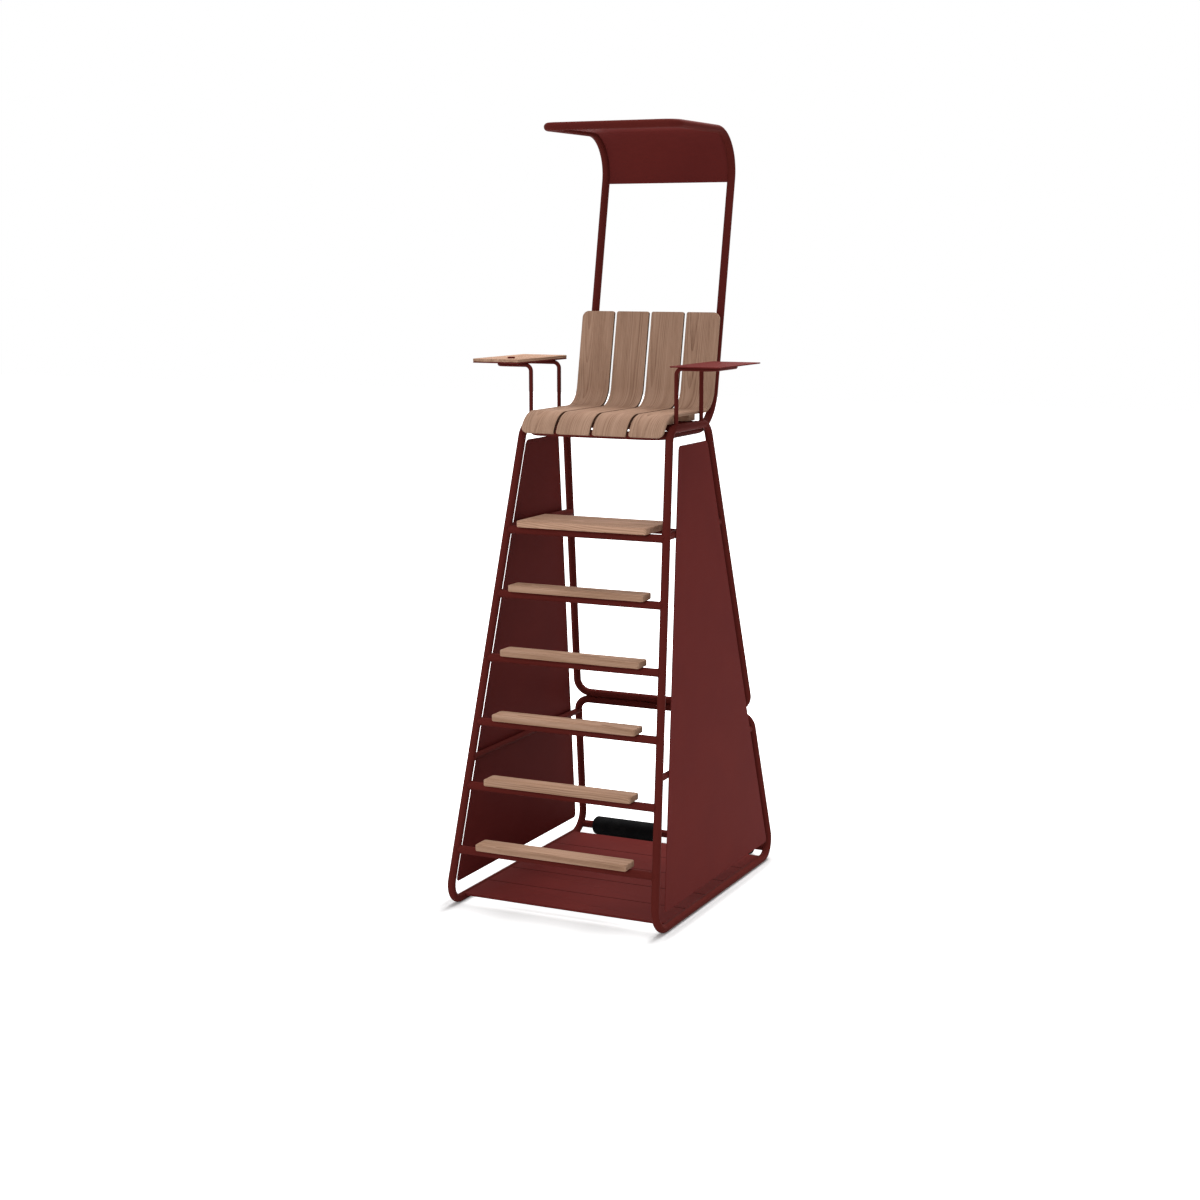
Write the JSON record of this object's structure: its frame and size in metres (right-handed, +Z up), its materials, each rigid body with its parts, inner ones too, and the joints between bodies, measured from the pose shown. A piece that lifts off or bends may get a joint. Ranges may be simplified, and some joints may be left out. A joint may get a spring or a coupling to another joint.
{
  "type": "tennis umpire chair",
  "caption": "Tall free-standing umpire chair: bent-tube tower with rungs and wooden steps, side panels, slatted seat between two trays, a bent canopy and a rear roller.",
  "frame": {"origin": "middle of the footprint at floor level, on the plane of symmetry of the tower", "axes": "+Z up; the steps and the sitter face -Y; +X is the side that a viewer in front sees on the right"},
  "size_m": [1.1468, 1.3406, 3.316],
  "materials": {
    "powder_coated_tube": "satin powder coat, deep maroon",
    "powder_coated_sheet": "satin powder coat, deep maroon, slightly paler on the broad sheets",
    "oiled_hardwood": "oiled pinkish-brown hardwood with a fine straight grain",
    "black_rubber": "matt black"
  },
  "bodies": {
    "frame": {"arm_rod_left": "powder_coated_tube", "arm_rod_right": "powder_coated_tube", "back_block_left": "oiled_hardwood", "back_block_right": "oiled_hardwood", "bottom_rail_left": "powder_coated_tube", "bottom_rail_right": "powder_coated_tube", "canopy_frame_left": "powder_coated_tube", "canopy_frame_right": "powder_coated_tube", "canopy_front_bar": "powder_coated_tube", "canopy_sheet": "powder_coated_sheet", "deck_ledge_left": "powder_coated_tube", "deck_ledge_right": "powder_coated_tube", "deck_plank_1": "powder_coated_sheet", "deck_plank_2": "powder_coated_sheet", "deck_plank_3": "powder_coated_sheet", "deck_plank_4": "powder_coated_sheet", "deck_plank_5": "powder_coated_sheet", "footrest_bearer": "powder_coated_tube", "footrest_board": "oiled_hardwood", "front_leg_left": "powder_coated_tube", "front_leg_right": "powder_coated_tube", "panel_rail_lower_left": "powder_coated_tube", "panel_rail_lower_right": "powder_coated_tube", "panel_rail_upper_left": "powder_coated_tube", "panel_rail_upper_right": "powder_coated_tube", "rear_crossbar_lower": "powder_coated_tube", "rear_crossbar_upper": "powder_coated_tube", "rear_lower_leg_left": "powder_coated_tube", "rear_lower_leg_right": "powder_coated_tube", "rear_upper_leg_left": "powder_coated_tube", "rear_upper_leg_right": "powder_coated_tube", "roller_axle": "powder_coated_tube", "rung_1": "powder_coated_tube", "rung_2": "powder_coated_tube", "rung_3": "powder_coated_tube", "rung_4": "powder_coated_tube", "rung_5": "powder_coated_tube", "rung_6": "powder_coated_tube", "seat_batten_front": "oiled_hardwood", "seat_batten_rear": "oiled_hardwood", "seat_front_bar": "powder_coated_tube", "seat_slat_1": "oiled_hardwood", "seat_slat_2": "oiled_hardwood", "seat_slat_3": "oiled_hardwood", "seat_slat_4": "oiled_hardwood", "seat_tube_front": "powder_coated_tube", "seat_tube_rear": "powder_coated_tube", "side_panel_left": "powder_coated_sheet", "side_panel_right": "powder_coated_sheet", "step_board_1": "oiled_hardwood", "step_board_2": "oiled_hardwood", "step_board_3": "oiled_hardwood", "step_board_4": "oiled_hardwood", "step_board_5": "oiled_hardwood", "tray_board_left": "oiled_hardwood", "tray_plate_left": "powder_coated_sheet", "tray_plate_right": "powder_coated_sheet"},
    "roller_left": {"roller_sleeve_left": "black_rubber"},
    "roller_right": {"roller_sleeve_right": "black_rubber"}
  },
  "joints": [
    {"name": "roller_spin_left", "type": "hinge", "parent": "frame", "child": "roller_left", "pos_m": [0, 0.631, 0.048], "axis": [1, 0, 0], "continuous": true},
    {"name": "roller_spin_right", "type": "hinge", "parent": "frame", "child": "roller_right", "pos_m": [0, 0.631, 0.048], "axis": [1, 0, 0], "continuous": true}
  ]
}
